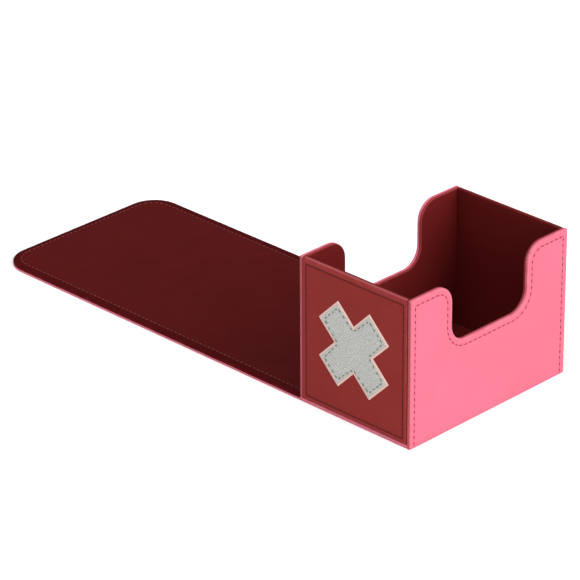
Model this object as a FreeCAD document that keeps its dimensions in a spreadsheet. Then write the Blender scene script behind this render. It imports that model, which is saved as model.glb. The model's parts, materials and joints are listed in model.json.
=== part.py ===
import FreeCAD, Part
import math
import os
import re
import Sketcher
from FreeCAD import Vector

# Side-loading leatherette deck box with a three-panel wrap-around cover, opened out flat.
# Frame: +Z up, origin at the centre of the tray's underside. +X is the outward normal of
# the right wall, the cover lies flat towards -X, and -Y is the outward normal of the
# decorated front wall. Millimetres.

doc = FreeCAD.newDocument("card_deck_box")
sheet = doc.addObject("Spreadsheet::Sheet", "Sizes")

SIZES = (
    ("box_width", 69.0, "tray across, outside of left wall to outside of right wall"),
    ("box_length", 106.0, "tray along the cards, outside to outside"),
    ("box_height", 74.5, "underside to rim"),
    ("wall", 2.8, "whole wall: leather, board and lining"),
    ("leather", 0.65, "outer leather skin"),
    ("lining", 0.6, "inner lining skin"),
    ("rim_wrap", 1.6, "how much of the rim the outer leather covers"),
    ("end_recess", 0.5, "front and rear walls set back from the side walls' ends"),
    ("end_rim_wrap", 1.3, "how much of the end walls' rim the outer leather covers"),
    ("board_end_margin", 1.2, "side wall boards stop this far from the wall's ends"),
    ("base_band", 1.8, "height of the base sheet: its leather edge and its board"),
    ("base_turn", 1.0, "width of the leather turned up round a flat board"),
    ("floor_board", 0.8, "loose board under the floor lining"),
    ("cutout_half_width", 25.5, "finger cutout, from the middle to its upright side"),
    ("cutout_bottom", 43.2, "finger cutout's lowest line above the underside"),
    ("shoulder_radius", 9.8, "rounding of the wall's shoulder into the cutout"),
    ("cutout_radius", 9.8, "rounding of the cutout's lower corners"),
    ("seam_inset", 2.8, "wall seams, from the edge they follow"),
    ("thread", 0.5, "width of a seam"),
    ("thread_height", 0.15, "how far a seam stands on its leather"),
    ("panel_side_margin", 2.1, "front and rear panels, from the tray's corner"),
    ("panel_top_margin", 0.8, "front and rear panels, below the rim"),
    ("panel_bottom_gap", 0.4, "front and rear panels, above the base band"),
    ("panel_thick", 0.8, "front and rear panels"),
    ("panel_seam_inset", 1.9, "panel seams, from the panel's edge"),
    ("patch_arm", 44.6, "cross patch, end to end of one arm"),
    ("patch_width", 17.0, "cross patch, width of an arm"),
    ("patch_raise", 0.4, "cross patch, its centre above the panel's middle"),
    ("patch_thick", 0.4, "canvas of the cross patch"),
    ("patch_seam_inset", 2.3, "patch seam, from the patch's edge"),
    ("cover_thick", 2.4, "cover: leather, board and lining"),
    ("cover_leather_edge", 1.2, "height of the leather half of the cover's edge"),
    ("fold_height", 0.6, "fold line above the underside"),
    ("fold_clearance", 0.6, "between a folded panel's lining and what it stands beside"),
    ("fold_child_gap", 0.6, "fold line to the end of the panel that turns"),
    ("lid_gap", 1.9, "closed cover above the tray's rim"),
    ("front_gap", 0.9, "closed lip in front of the right wall"),
    ("lip_length", 54.5, "lip, from its fold line to its free edge"),
    ("lip_radius", 15.0, "lip's two free corners"),
    ("cover_seam_inset", 4.4, "cover seams, from the long edges"),
    ("lip_seam_inset", 3.1, "cover seam, from the lip's free edge"),
    ("magnet_radius", 4.0, "closing magnets and their keeper plates"),
    ("magnet_thick", 1.0, "closing magnets and their keeper plates"),
    ("magnet_spacing", 36.0, "middle magnet to each outer magnet"),
    ("magnet_from_edge", 9.3, "magnets' centres, from the lip's free edge"),
)

for row, (alias, value, meaning) in enumerate(SIZES, start=1):
    sheet.set(f"A{row}", meaning)
    sheet.set(f"B{row}", str(value))
    sheet.setAlias(f"B{row}", alias)
doc.recompute()

# Places that several pieces share, as expressions of the sheet's sizes.
HALF_WIDTH = "box_width / 2"
HALF_LENGTH = "box_length / 2"
INNER_X = "(box_width / 2 - wall)"
INNER_Y = "(box_length / 2 - wall)"
RIM_SPLIT_X = "(box_width / 2 - rim_wrap)"
SKIN_X = "(box_width / 2 - leather)"
LINING_BACK_X = "(box_width / 2 - wall + lining)"
END_FACE_Y = "(box_length / 2 - end_recess)"
END_SPLIT_Y = "(box_length / 2 - end_recess - end_rim_wrap)"
END_SKIN_Y = "(box_length / 2 - end_recess - leather)"
END_LINING_Y = "(box_length / 2 - wall + lining)"
END_PANEL_Y = "(box_length / 2 - end_recess + panel_thick)"
BOARD_TOP = "(box_height - leather)"
LINING_REACH = "(cover_thick - fold_height)"
FOLD_PARENT_GAP = f"({LINING_REACH} + fold_clearance)"
BASE_FOLD_X = f"(-box_width / 2 - {FOLD_PARENT_GAP})"
BACK_SPAN = f"(box_height + lid_gap + {LINING_REACH} - fold_height)"
TOP_SPAN = f"(box_width + front_gap + {LINING_REACH} + {FOLD_PARENT_GAP})"
BACK_FOLD_X = f"({BASE_FOLD_X} - {BACK_SPAN})"
LIP_FOLD_X = f"({BACK_FOLD_X} - {TOP_SPAN})"
LIP_END_X = f"({LIP_FOLD_X} - lip_length)"
MAGNET_X = f"({LIP_END_X} + magnet_from_edge)"
KEEPER_Z = f"(fold_height + {BACK_SPAN} - lip_length + magnet_from_edge)"
PANEL_Z = ("(base_band + panel_bottom_gap)", "(box_height - panel_top_margin)")
PATCH_Z = f"(({PANEL_Z[0]} + {PANEL_Z[1]}) / 2 + patch_raise)"

subparts = []


def in_sheet(expression):
    """The same expression, with every size name read from the sheet."""
    return re.sub(r"[a-z][a-z_]*", lambda word: "Sizes." + word.group(), expression)


def bind(obj, prop, expression):
    obj.setExpression(prop, in_sheet(expression))


def size(alias):
    return float(sheet.get(alias))


def keep(obj, label):
    """Marks an object as a sub-part and gives it the name of its file."""
    obj.Label = label
    subparts.append(obj)
    return obj


# ---- boxes, cuts and groups ---------------------------------------------------------


def block(name, x, y, z):
    """A box between three pairs of bound planes."""
    box = doc.addObject("Part::Box", name)
    for prop, axis, (low, high) in zip(("Length", "Width", "Height"), "xyz", (x, y, z)):
        bind(box, prop, f"{high} - ({low})")
        bind(box, f"Placement.Base.{axis}", low)
    return box


def cut(name, base, tool):
    result = doc.addObject("Part::Cut", name)
    result.Base = base
    result.Tool = tool
    return result


def group(name, members):
    result = doc.addObject("Part::Compound", name)
    result.Links = members
    return result


def both(half):
    """The pair of planes at -half and +half."""
    return (f"-({half})", half)


def mirrored(low, high, side):
    """A span on the +side, or its mirror image on the -side."""
    return (low, high) if side > 0 else (f"-({high})", f"-({low})")


def disc(name, x, y, z, axis):
    """A magnet or keeper plate: a short cylinder whose base centre is bound."""
    cylinder = doc.addObject("Part::Cylinder", name)
    bind(cylinder, "Radius", "magnet_radius")
    bind(cylinder, "Height", "magnet_thick")
    cylinder.Placement.Rotation = FreeCAD.Rotation(Vector(0, 0, 1), axis)
    for prop, place in zip("xyz", (x, y, z)):
        bind(cylinder, f"Placement.Base.{prop}", place)
    return cylinder


# ---- sketched outlines --------------------------------------------------------------


class Outline:
    """A closed sketch profile of upright and level lines joined by corners and arcs."""

    def __init__(self, body, name, plane_role, offset):
        self.sketch = body.newObject("Sketcher::SketchObject", name)
        planes = [f for f in body.Origin.OriginFeatures if f.Role == plane_role]
        self.sketch.AttachmentSupport = (planes[0], [""])
        self.sketch.MapMode = "FlatFace"
        bind(self.sketch, "AttachmentOffset.Base.z", offset)

    def line(self, start, end):
        index = self.sketch.addGeometry(Part.LineSegment(Vector(*start), Vector(*end)))
        level = abs(start[1] - end[1]) < abs(start[0] - end[0])
        self.constrain("Horizontal" if level else "Vertical", index)
        return index

    def arc(self, centre, radius, quarter):
        """A quarter circle that starts `quarter` right angles round from +X."""
        circle = Part.Circle(Vector(*centre), Vector(0, 0, 1), radius)
        start = quarter * math.pi / 2
        return self.sketch.addGeometry(Part.ArcOfCircle(circle, start, start + math.pi / 2))

    def constrain(self, *args):
        return self.sketch.addConstraint(Sketcher.Constraint(*args))

    def measure(self, expression, *args):
        """A dimension bound to the sheet."""
        bind(self.sketch, f"Constraints[{self.constrain(*args)}]", expression)


START, END = 1, 2
ORIGIN = (-1, 1)


def wall_outline(body, name, at_x, half_length, inset, bottom):
    """A side wall seen along X, with its finger cutout, drawn in by `inset`."""
    out = Outline(body, name, "YZ_Plane", at_x)
    far, top, low = size("box_length") / 2, size("box_height"), size("base_band")
    side, floor = size("cutout_half_width"), size("cutout_bottom")
    outer, inner = size("shoulder_radius"), size("cutout_radius")
    left_side = out.line((-far, low), (-far, top))
    left_top = out.line((-far, top), (-side - outer, top))
    left_shoulder = out.arc((-side - outer, top - outer), outer, 0)
    left_cut = out.line((-side, top - outer), (-side, floor + inner))
    left_corner = out.arc((inner - side, floor + inner), inner, 2)
    cut_floor = out.line((inner - side, floor), (side - inner, floor))
    right_corner = out.arc((side - inner, floor + inner), inner, 3)
    right_cut = out.line((side, floor + inner), (side, top - outer))
    right_shoulder = out.arc((side + outer, top - outer), outer, 1)
    right_top = out.line((side + outer, top), (far, top))
    right_side = out.line((far, top), (far, low))
    foot = out.line((far, low), (-far, low))
    for first, first_end, second, second_end in (
        (left_top, END, left_shoulder, END),
        (left_shoulder, START, left_cut, START),
        (left_cut, END, left_corner, START),
        (left_corner, END, cut_floor, START),
        (cut_floor, END, right_corner, START),
        (right_corner, END, right_cut, START),
        (right_cut, END, right_shoulder, END),
        (right_shoulder, START, right_top, START),
    ):
        out.constrain("Tangent", first, first_end, second, second_end)
    for first, second in (
        (left_side, left_top),
        (right_top, right_side),
        (right_side, foot),
        (foot, left_side),
    ):
        out.constrain("Coincident", first, END, second, START)
    cut_half = f"cutout_half_width + {inset}"
    out.measure(half_length, "DistanceX", left_side, START, *ORIGIN, far)
    out.measure(half_length, "DistanceX", *ORIGIN, right_side, START, far)
    out.measure(cut_half, "DistanceX", left_cut, START, *ORIGIN, side)
    out.measure(cut_half, "DistanceX", *ORIGIN, right_cut, START, side)
    for edge in (left_top, right_top):
        out.measure(f"box_height - {inset}", "DistanceY", *ORIGIN, edge, START, top)
    out.measure(f"cutout_bottom - {inset}", "DistanceY", *ORIGIN, cut_floor, START, floor)
    tall = f"box_height - {inset} - {bottom}"
    out.measure(tall, "DistanceY", foot, START, right_side, START, top - low)
    for arc in (left_shoulder, right_shoulder):
        out.measure(f"shoulder_radius - {inset}", "Radius", arc, outer)
    for arc in (left_corner, right_corner):
        out.measure(f"cutout_radius + {inset}", "Radius", arc, inner)
    return out.sketch


def lip_outline(body, name, at_z, start_x, end_inset, side_inset):
    """The lip seen from above: square at its fold, round at its free corners."""
    out = Outline(body, name, "XY_Plane", at_z)
    half, radius = size("box_length") / 2, size("lip_radius")
    near = -2 * size("box_width")
    far = near - size("lip_length")
    fold_edge = out.line((near, -half), (near, half))
    rear_edge = out.line((near, half), (far + radius, half))
    rear_corner = out.arc((far + radius, half - radius), radius, 1)
    free_edge = out.line((far, half - radius), (far, radius - half))
    front_corner = out.arc((far + radius, radius - half), radius, 2)
    front_edge = out.line((far + radius, -half), (near, -half))
    out.constrain("Coincident", fold_edge, END, rear_edge, START)
    out.constrain("Coincident", front_edge, END, fold_edge, START)
    out.constrain("Tangent", rear_edge, END, rear_corner, START)
    out.constrain("Tangent", rear_corner, END, free_edge, START)
    out.constrain("Tangent", free_edge, END, front_corner, START)
    out.constrain("Tangent", front_corner, END, front_edge, START)
    out.measure(f"-({start_x})", "DistanceX", fold_edge, START, *ORIGIN, -near)
    out.measure(f"-({LIP_END_X}) - {end_inset}", "DistanceX", free_edge, START, *ORIGIN, -far)
    half_width = f"box_length / 2 - {side_inset}"
    out.measure(half_width, "DistanceY", *ORIGIN, rear_edge, START, half)
    out.measure(half_width, "DistanceY", front_edge, START, *ORIGIN, half)
    for arc in (rear_corner, front_corner):
        out.measure(f"lip_radius - {end_inset}", "Radius", arc, radius)
    return out.sketch


def pad(body, name, sketch, length):
    feature = body.newObject("PartDesign::Pad", name)
    feature.Profile = sketch
    bind(feature, "Length", length)
    doc.recompute()
    return feature


def pocket(body, name, sketch, depth):
    """Cuts from the sketch towards the lower side of its plane."""
    before = body.Shape.Volume
    feature = body.newObject("PartDesign::Pocket", name)
    feature.Profile = sketch
    bind(feature, "Length", depth)
    doc.recompute()
    if body.Shape.Volume >= before:
        raise RuntimeError(f"{name} cuts nothing")
    return feature


# ---- tray: base and floor -----------------------------------------------------------


def tray_base():
    """The sheet that the tray stands on, which the cover continues."""
    inside_x = ("-box_width / 2 + base_turn", f"{RIM_SPLIT_X} - base_turn")
    inside_y = both(f"{HALF_LENGTH} - base_turn")
    skin = block("BaseSheet", (f"-{HALF_WIDTH}", RIM_SPLIT_X), both(HALF_LENGTH), ("0", "base_band"))
    hollow = block("BaseHollow", inside_x, inside_y, ("leather", "base_band"))
    keep(cut("BaseLeather", skin, hollow), "base_leather")
    keep(block("BaseBoard", inside_x, inside_y, ("leather", "base_band")), "base_board")


def tray_floor():
    """The loose floor board and its lining, inside the four walls."""
    top = "base_band + floor_board"
    keep(block("FloorBoard", both(INNER_X), both(INNER_Y), ("base_band", top)), "floor_board")
    lined = (top, f"{top} + lining")
    keep(block("FloorLining", both(INNER_X), both(INNER_Y), lined), "floor_lining")


# ---- tray: side walls with finger cutouts -------------------------------------------


def side_wall_piece(name, label, span, half_length, inset, bottom, hollow=None, kept=True):
    """A wall-shaped plate over `span`, less the board's room over `hollow`."""
    body = doc.addObject("PartDesign::Body", name)
    low, high = span
    outline = wall_outline(body, name + "Outline", low, half_length, inset, bottom)
    pad(body, name + "Pad", outline, f"{high} - ({low})")
    if hollow:
        near, far = hollow
        margin = f"{HALF_LENGTH} - board_end_margin"
        room = wall_outline(body, name + "Room", far, margin, "leather", "base_band")
        pocket(body, name + "Pocket", room, f"{far} - ({near})")
    return keep(body, label) if kept else body


def side_seam(name, label, side):
    """The seam that follows the shoulders, the cutout and both upright edges."""
    body = doc.addObject("PartDesign::Body", name)
    low, high = mirrored(HALF_WIDTH, "box_width / 2 + thread_height", side)
    foot = "thread" if side > 0 else "(cover_thick + thread)"
    outside, inside = "seam_inset", "(seam_inset + thread)"
    outer = wall_outline(body, name + "Outer", low, f"{HALF_LENGTH} - {outside}", outside, foot)
    pad(body, name + "Pad", outer, "thread_height")
    hollow = wall_outline(body, name + "Inner", high, f"{HALF_LENGTH} - {inside}", inside, foot)
    pocket(body, name + "Pocket", hollow, "thread_height")
    keep(body, label)


def keeper_plates():
    """Three steel discs in the right wall that the lip's magnets hold on to."""
    start = f"{SKIN_X} - magnet_thick"
    discs = [
        disc(f"Keeper{i}", start, place, KEEPER_Z, Vector(1, 0, 0))
        for i, place in enumerate(("-magnet_spacing", "0", "magnet_spacing"))
    ]
    return keep(group("KeeperPlates", discs), "keeper_plates")


def side_walls():
    board_half = f"{HALF_LENGTH} - board_end_margin"
    plates = keeper_plates()
    for side, name, label, foot in ((1, "Right", "right", "0"), (-1, "Left", "left", "base_band")):
        side_wall_piece(
            name + "Leather", label + "_wall_leather",
            mirrored(RIM_SPLIT_X, HALF_WIDTH, side), HALF_LENGTH, "0", foot,
            hollow=mirrored(RIM_SPLIT_X, SKIN_X, side),
        )
        side_wall_piece(
            name + "Lining", label + "_wall_lining",
            mirrored(INNER_X, RIM_SPLIT_X, side), END_FACE_Y, "0", "base_band",
            hollow=mirrored(LINING_BACK_X, RIM_SPLIT_X, side),
        )
        board = side_wall_piece(
            name + "Board", label + "_wall_board",
            mirrored(LINING_BACK_X, SKIN_X, side), board_half, "leather", "base_band",
            kept=side < 0,
        )
        if side > 0:
            keep(cut("RightBoardDrilled", board, plates), label + "_wall_board")
        side_seam(name + "Seam", label + "_wall_seam", side)


# ---- tray: front and rear walls -----------------------------------------------------


def end_wall(side, name, label):
    """A plain wall between the side walls: leather outside, board, lining inside."""
    across = both(INNER_X)
    tall = ("base_band", "box_height")
    room = ("base_band", BOARD_TOP)
    skin = block(name + "Skin", across, mirrored(END_SPLIT_Y, END_FACE_Y, side), tall)
    skin_room = block(name + "SkinRoom", across, mirrored(END_SPLIT_Y, END_SKIN_Y, side), room)
    keep(cut(name + "Leather", skin, skin_room), label + "_wall_leather")
    face = block(name + "Face", across, mirrored(INNER_Y, END_SPLIT_Y, side), tall)
    face_room = block(name + "FaceRoom", across, mirrored(END_LINING_Y, END_SPLIT_Y, side), room)
    keep(cut(name + "Lining", face, face_room), label + "_wall_lining")
    board = mirrored(END_LINING_Y, END_SKIN_Y, side)
    keep(block(name + "Board", across, board, room), label + "_wall_board")


def end_panel(side, name, label):
    """The leather panel sewn to an end wall, and its seam."""
    low, high = PANEL_Z
    half = "(box_width / 2 - panel_side_margin)"
    thick = mirrored(END_FACE_Y, END_PANEL_Y, side)
    keep(block(name + "Panel", both(half), thick, (low, high)), label + "_panel")
    raised = mirrored(END_PANEL_Y, f"{END_PANEL_Y} + thread_height", side)
    rings = []
    for ring, inset in (("Outer", "panel_seam_inset"), ("Inner", "(panel_seam_inset + thread)")):
        across = both(f"{half} - {inset}")
        rings.append(block(name + ring, across, raised, (f"{low} + {inset}", f"{high} - {inset}")))
    keep(cut(name + "Seam", *rings), label + "_panel_seam")


def crossed_strips(name, inset, low, high):
    """Two equal strips crossed at 45 degrees on the front panel, drawn in by `inset`."""
    strips = []
    for turn in (45, -45):
        strip = doc.addObject("Part::Box", f"{name}Strip{len(strips)}")
        bind(strip, "Length", f"patch_arm - 2 * ({inset})")
        bind(strip, "Height", f"patch_width - 2 * ({inset})")
        bind(strip, "Width", f"{high} - ({low})")
        turned = FreeCAD.Rotation(Vector(0, 1, 0), turn)
        strip.Placement.Rotation = turned
        along = turned.multVec(Vector(1, 0, 0))
        upward = turned.multVec(Vector(0, 0, 1))
        for axis in "xz":
            half_arm = f"(patch_arm / 2 - ({inset})) * ({getattr(along, axis):.9f})"
            half_width = f"(patch_width / 2 - ({inset})) * ({getattr(upward, axis):.9f})"
            centre = PATCH_Z if axis == "z" else "0"
            bind(strip, f"Placement.Base.{axis}", f"{centre} - {half_arm} - {half_width}")
        bind(strip, "Placement.Base.y", low)
        strips.append(strip)
    fused = doc.addObject("Part::Fuse", name)
    fused.Base, fused.Tool = strips
    fused.Refine = True
    return fused


def cross_patch():
    """A plain canvas cross sewn to the front panel, and its running seam."""
    face = f"-({END_PANEL_Y})"
    canvas = f"-({END_PANEL_Y} + patch_thick)"
    thread = f"-({END_PANEL_Y} + patch_thick + thread_height)"
    keep(crossed_strips("CrossPatch", "0", canvas, face), "cross_patch")
    outer = crossed_strips("PatchSeamOuter", "patch_seam_inset", thread, canvas)
    inner = crossed_strips("PatchSeamInner", "patch_seam_inset + thread", thread, canvas)
    keep(cut("PatchSeam", outer, inner), "cross_patch_seam")


# ---- cover: back and top panels, lip and folds --------------------------------------

LEATHER_Z = ("0", "cover_leather_edge")
LINING_Z = ("cover_leather_edge", "cover_thick")
BOARD_Z = ("leather", "cover_thick - lining")


def flat_panel(name, label, fold_x, next_fold_x):
    """A straight cover panel between two fold lines: leather, board, lining, seam."""
    across = (f"{next_fold_x} + {FOLD_PARENT_GAP}", f"{fold_x} - fold_child_gap")
    inside = (f"{across[0]} + base_turn", f"{across[1]} - base_turn")
    wide, board_wide = both(HALF_LENGTH), both(f"{HALF_LENGTH} - base_turn")
    for half, (low, high), room in (
        ("leather", LEATHER_Z, ("leather", "cover_leather_edge")),
        ("lining", LINING_Z, ("cover_leather_edge", "cover_thick - lining")),
    ):
        sheet_part = block(f"{name}_{half}_sheet", across, wide, (low, high))
        hollow = block(f"{name}_{half}_room", inside, board_wide, room)
        keep(cut(f"{name}_{half}", sheet_part, hollow), f"{label}_{half}")
    keep(block(name + "Board", inside, board_wide, BOARD_Z), label + "_board")
    raised = ("cover_thick", "cover_thick + thread_height")
    seam_line = (f"{HALF_LENGTH} - cover_seam_inset - thread", f"{HALF_LENGTH} - cover_seam_inset")
    seams = [
        block(name + "RearSeam", across, mirrored(*seam_line, 1), raised),
        block(name + "FrontSeam", across, mirrored(*seam_line, -1), raised),
    ]
    keep(group(name + "Seams", seams), label + "_seam")


def lip_plate(name, span, start_x, end_inset, side_inset, hollow=None):
    """A plate of the lip's outline over `span`, less the board's room over `hollow`."""
    body = doc.addObject("PartDesign::Body", name)
    low, high = span
    outline = lip_outline(body, name + "Outline", low, start_x, end_inset, side_inset)
    pad(body, name + "Pad", outline, f"{high} - ({low})")
    if hollow:
        room_low, room_high = hollow
        inner_x = f"{start_x} - base_turn"
        room = lip_outline(body, name + "Room", room_high, inner_x, "base_turn", "base_turn")
        pocket(body, name + "Pocket", room, f"{room_high} - ({room_low})")
    return body


def lip():
    """The closing lip, with three magnets let into its board."""
    start = f"{LIP_FOLD_X} - fold_child_gap"
    leather = lip_plate("LipLeather", LEATHER_Z, start, "0", "0", ("leather", "cover_leather_edge"))
    keep(leather, "lip_leather")
    lining_room = ("cover_leather_edge", "cover_thick - lining")
    keep(lip_plate("LipLining", LINING_Z, start, "0", "0", lining_room), "lip_lining")
    magnet_base = "cover_thick - lining - magnet_thick"
    magnets = [
        disc(f"Magnet{i}", MAGNET_X, place, magnet_base, Vector(0, 0, 1))
        for i, place in enumerate(("-magnet_spacing", "0", "magnet_spacing"))
    ]
    set_in = keep(group("LipMagnets", magnets), "lip_magnets")
    blank = lip_plate("LipBlank", BOARD_Z, f"{start} - base_turn", "base_turn", "base_turn")
    keep(cut("LipBoard", blank, set_in), "lip_board")
    seam_body = doc.addObject("PartDesign::Body", "LipSeam")
    outer = lip_outline(
        seam_body, "LipSeamOuter", "cover_thick", start,
        "lip_seam_inset", "cover_seam_inset",
    )
    pad(seam_body, "LipSeamPad", outer, "thread_height")
    inner = lip_outline(
        seam_body, "LipSeamInner", "cover_thick + thread_height", start,
        "(lip_seam_inset + thread)", "(cover_seam_inset + thread)",
    )
    pocket(seam_body, "LipSeamPocket", inner, "thread_height")
    keep(seam_body, "lip_seam")


def fold(name, label, fold_x):
    """The unstiffened leather and lining between two panels, where the cover bends."""
    across = (f"{fold_x} - fold_child_gap", f"{fold_x} + {FOLD_PARENT_GAP}")
    keep(block(name + "Leather", across, both(HALF_LENGTH), LEATHER_Z), label + "_leather")
    keep(block(name + "Lining", across, both(HALF_LENGTH), LINING_Z), label + "_lining")


# ---- the whole box ------------------------------------------------------------------


def build():
    tray_base()
    tray_floor()
    side_walls()
    for side, name, label in ((-1, "Front", "front"), (1, "Rear", "rear")):
        end_wall(side, name, label)
        end_panel(side, name + "End", label)
    cross_patch()
    fold("BaseFold", "base_fold", BASE_FOLD_X)
    flat_panel("CoverBack", "cover_back", BASE_FOLD_X, BACK_FOLD_X)
    fold("BackFold", "back_fold", BACK_FOLD_X)
    flat_panel("CoverTop", "cover_top", BACK_FOLD_X, LIP_FOLD_X)
    fold("LipFold", "lip_fold", LIP_FOLD_X)
    lip()
    doc.recompute()


def check():
    """Stops if any object failed to build or any sub-part is not a sound solid."""
    for obj in doc.Objects:
        if {"Invalid", "Error"} & set(obj.State):
            raise RuntimeError(f"{obj.Name} failed: {obj.State}")
    for obj in subparts:
        shape = obj.Shape
        if shape.isNull() or not shape.isValid() or not shape.Solids:
            raise RuntimeError(f"{obj.Label} is not a valid solid")


def export():
    os.makedirs("parts", exist_ok=True)
    for obj in subparts:
        obj.Shape.exportStep(os.path.join("parts", obj.Label + ".step"))


build()
check()
export()
print(len(subparts), "sub-parts")
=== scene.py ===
import json
import math

import bmesh
import bpy
from mathutils import Matrix, Vector, noise


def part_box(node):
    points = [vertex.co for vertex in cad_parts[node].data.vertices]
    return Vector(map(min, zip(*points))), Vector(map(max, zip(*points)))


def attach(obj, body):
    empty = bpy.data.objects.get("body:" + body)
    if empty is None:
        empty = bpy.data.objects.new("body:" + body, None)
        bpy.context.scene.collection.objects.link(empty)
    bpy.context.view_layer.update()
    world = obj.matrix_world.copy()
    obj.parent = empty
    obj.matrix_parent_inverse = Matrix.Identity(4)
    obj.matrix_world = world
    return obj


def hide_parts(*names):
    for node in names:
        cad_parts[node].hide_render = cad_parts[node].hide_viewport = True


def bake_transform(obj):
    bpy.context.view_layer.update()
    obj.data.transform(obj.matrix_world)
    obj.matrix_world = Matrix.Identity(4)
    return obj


# The looks of a leatherette card deck box that stands open, its cover laid out flat.
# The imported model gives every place. Lengths in this script are millimetres, and become
# metres where a mesh or a texture is made or the camera is placed.

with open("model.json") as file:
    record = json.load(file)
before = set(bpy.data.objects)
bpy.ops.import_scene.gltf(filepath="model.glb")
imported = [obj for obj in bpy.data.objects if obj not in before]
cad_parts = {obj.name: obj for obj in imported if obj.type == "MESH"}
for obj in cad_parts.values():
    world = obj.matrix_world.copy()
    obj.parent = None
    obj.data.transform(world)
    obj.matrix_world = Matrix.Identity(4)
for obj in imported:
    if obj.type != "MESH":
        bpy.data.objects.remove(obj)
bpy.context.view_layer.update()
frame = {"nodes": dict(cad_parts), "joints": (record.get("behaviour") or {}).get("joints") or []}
MM = 0.001

# ---- sizes --------------------------------------------------------------------------

# What the boxes of the CAD nodes don't say.
CUTOUT_HALF_WIDTH = 25.5
CUTOUT_BOTTOM = 43.2
SHOULDER_RADIUS = 9.8
CUTOUT_RADIUS = 9.8
WALL_TOP_RADIUS = 0.9
WALL_FOOT_RADIUS = 0.4
PANEL_RADIUS = 0.7
FLOOR_RADIUS = 0.5
LIP_RADIUS = 15.0
PATCH_ARM = 44.6
PATCH_WIDTH = 17.0
PATCH_CONVEX_RADIUS = 0.35
PATCH_CONCAVE_RADIUS = 0.3
PATCH_SEAM = 2.55
SEAM_BAND = 0.5

# Thickness of leather and lining. The board inside them starts BOARD_TURN in from an edge
# in the base and the cover, and SKIN in from it in the walls.
SKIN = 0.65
LINING = 0.6
BOARD_TURN = 1.0

# How far a wall's folded leather keeps from the pieces that it meets.
WALL_ROOM = 0.05

# How finely outlines are drawn.
ARC_STEPS = 10
EDGE_STEP = 6.0
SMALLEST_RADIUS = 0.02


def box(node):
    """The lowest and the highest corner of a CAD node."""
    return [Vector(corner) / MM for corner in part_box(node)]


def metres(point):
    return Vector(point) * MM


def near_side(side, low, high):
    """How far from the middle the inner face of a piece is, on that side of the tray."""
    return low if side > 0 else -high


def seam_inset(edge, band_edge):
    """How far in a seam's line is, given the edge of its piece and of the CAD's band."""
    return abs(edge - band_edge) + SEAM_BAND / 2


WALL_SEAM = seam_inset(box("right_wall_leather")[1].y, box("right_wall_seam")[1].y)
PANEL_SEAM = seam_inset(box("front_panel")[1].x, box("front_panel_seam")[1].x)
COVER_SEAM = seam_inset(box("cover_back_leather")[1].y, box("cover_back_seam")[1].y)
LIP_END_SEAM = seam_inset(box("lip_leather")[0].x, box("lip_seam")[0].x)


# ---- outlines -----------------------------------------------------------------------


def corner_arcs(corners, insets):
    """The arc at each corner of an outline, once its edges are drawn in.

    A corner is (a, b, radius, kind of the edge that leaves it), anticlockwise, and
    `insets` gives how far each kind of edge moves inwards.
    """
    lines = []
    for i, (a, b, _, kind) in enumerate(corners):
        after = corners[(i + 1) % len(corners)]
        along = Vector((after[0] - a, after[1] - b)).normalized()
        inward = Vector((-along.y, along.x))
        lines.append((Vector((a, b)) + inward * insets[kind], along, insets[kind]))
    arcs = []
    for i, corner in enumerate(corners):
        start, before, inset_before = lines[i - 1]
        end, after, inset_after = lines[i]
        bend = before.cross(after)
        meet = start + before * ((end - start).cross(after) / bend)
        side = math.copysign(1, bend)
        angle = before.angle(after)
        radius = max(corner[2] - side * (inset_before + inset_after) / 2, SMALLEST_RADIUS)
        first = meet - before * radius * math.tan(angle / 2)
        centre = first + Vector((-before.y, before.x)) * side * radius
        spoke = first - centre
        arcs.append([
            centre + Matrix.Rotation(side * angle * step / ARC_STEPS, 2) @ spoke
            for step in range(ARC_STEPS + 1)
        ])
    return arcs


def ring(corners, insets):
    """The whole outline as points, as many for every inset."""
    arcs = corner_arcs(corners, insets)
    points = []
    for i, arc in enumerate(arcs):
        after = (i + 1) % len(arcs)
        reach = (Vector(corners[after][:2]) - Vector(corners[i][:2])).length
        pieces = max(1, math.ceil(reach / EDGE_STEP))
        points += arc
        points += [arc[-1].lerp(arcs[after][0], k / pieces) for k in range(1, pieces)]
    return points


def rectangle(low, high, kinds, radius=0.0):
    """A rectangle whose edges, from the lower one anticlockwise, have these kinds."""
    return [
        (low[0], low[1], radius, kinds[0]),
        (high[0], low[1], radius, kinds[1]),
        (high[0], high[1], radius, kinds[2]),
        (low[0], high[1], radius, kinds[3]),
    ]


# ---- profiles -----------------------------------------------------------------------

# The innermost ring of a profile: everything inside it is one flat face.
FLAT_FROM = 6.0

# A groove under a seam: distance from the seam's line, and share of the groove's depth.
GROOVE = ((0.5, 0.0), (0.28, 0.6), (0.1, 1.0), (-0.1, 1.0), (-0.28, 0.6), (-0.5, 0.0))

# How far inside a seam the leather has nearly puffed up, and the share of the puff there.
PUFF_REACH, PUFF_SHARE = 1.3, 0.9

# Where an edge curls in under the piece: (inset, height).
CURL = ((0.0, 0.16), (0.04, 0.05), (0.14, 0.0))
ROUNDING_STEPS = 7


def outer_profile(thick, width, drop, seam=None, depth=0.0, puff=0.0):
    """(inset, height) from the flat of a face to its edge, which ends at height 0.

    `width` and `drop` are how far the rounding of the edge reaches across the face and
    down the edge. `seam` is the inset of a groove that is `depth` deep, and `puff` how
    much the leather stands up inside it.
    """
    points = [(FLAT_FROM, thick + puff)]
    if seam:
        points.append((seam + PUFF_REACH, thick + puff * PUFF_SHARE))
        points += [(seam + away, thick - depth * share) for away, share in GROOVE]
    for step in range(ROUNDING_STEPS):
        turn = math.pi / 2 * step / (ROUNDING_STEPS - 1)
        points.append((width * (1 - math.sin(turn)), thick - drop * (1 - math.cos(turn))))
    points += CURL
    return points


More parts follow.
